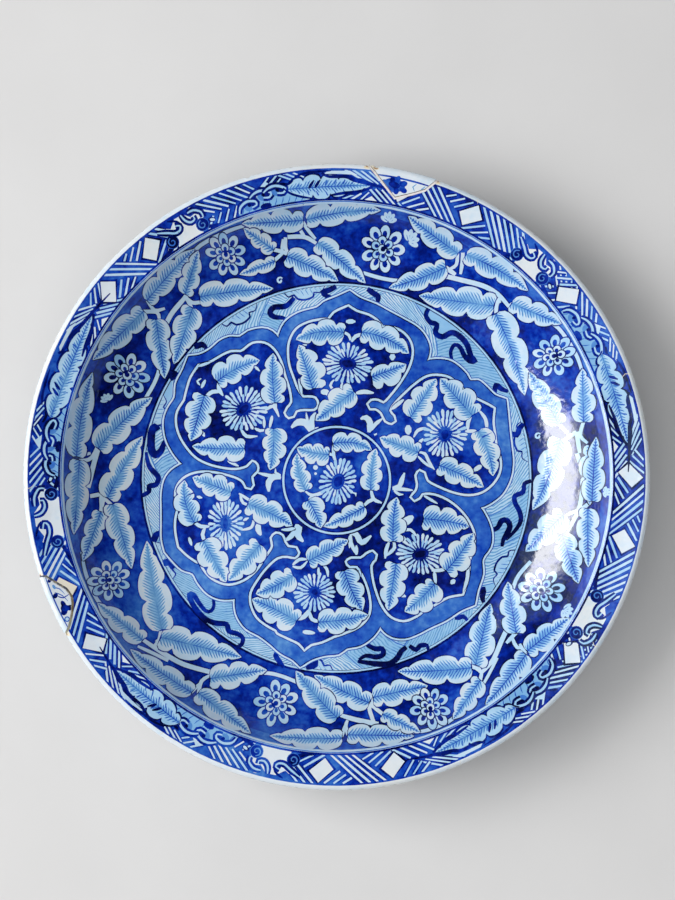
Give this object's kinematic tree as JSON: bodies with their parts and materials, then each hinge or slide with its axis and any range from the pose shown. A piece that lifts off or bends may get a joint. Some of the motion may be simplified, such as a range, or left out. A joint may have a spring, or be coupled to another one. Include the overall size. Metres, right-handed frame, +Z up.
{
  "type": "broken and mended dish",
  "caption": "Large shallow glazed ceramic dish with a foot ring, its chipped rim closed with glued-in pieces from another dish.",
  "frame": {"origin": "centre of the foot ring's resting face, on the dish's axis", "axes": "+Z up along the dish's axis, out of its hollow; +Y towards the side with the larger glued-in rim piece"},
  "size_m": [0.45, 0.45, 0.0645],
  "materials": {
    "painted_glaze": "glossy transparent glaze over blue painting on a white body",
    "fragment_glaze": "glossy transparent glaze over a pale painted body",
    "pale_adhesive": "dull, set hard",
    "brown_adhesive": "dull, discoloured"
  },
  "bodies": {
    "root": {"dish_body": "painted_glaze", "upper_rim_fragment": "fragment_glaze", "left_rim_fragment": "fragment_glaze", "upper_adhesive_bed": "pale_adhesive", "left_adhesive_bed": "brown_adhesive"}
  },
  "joints": []
}
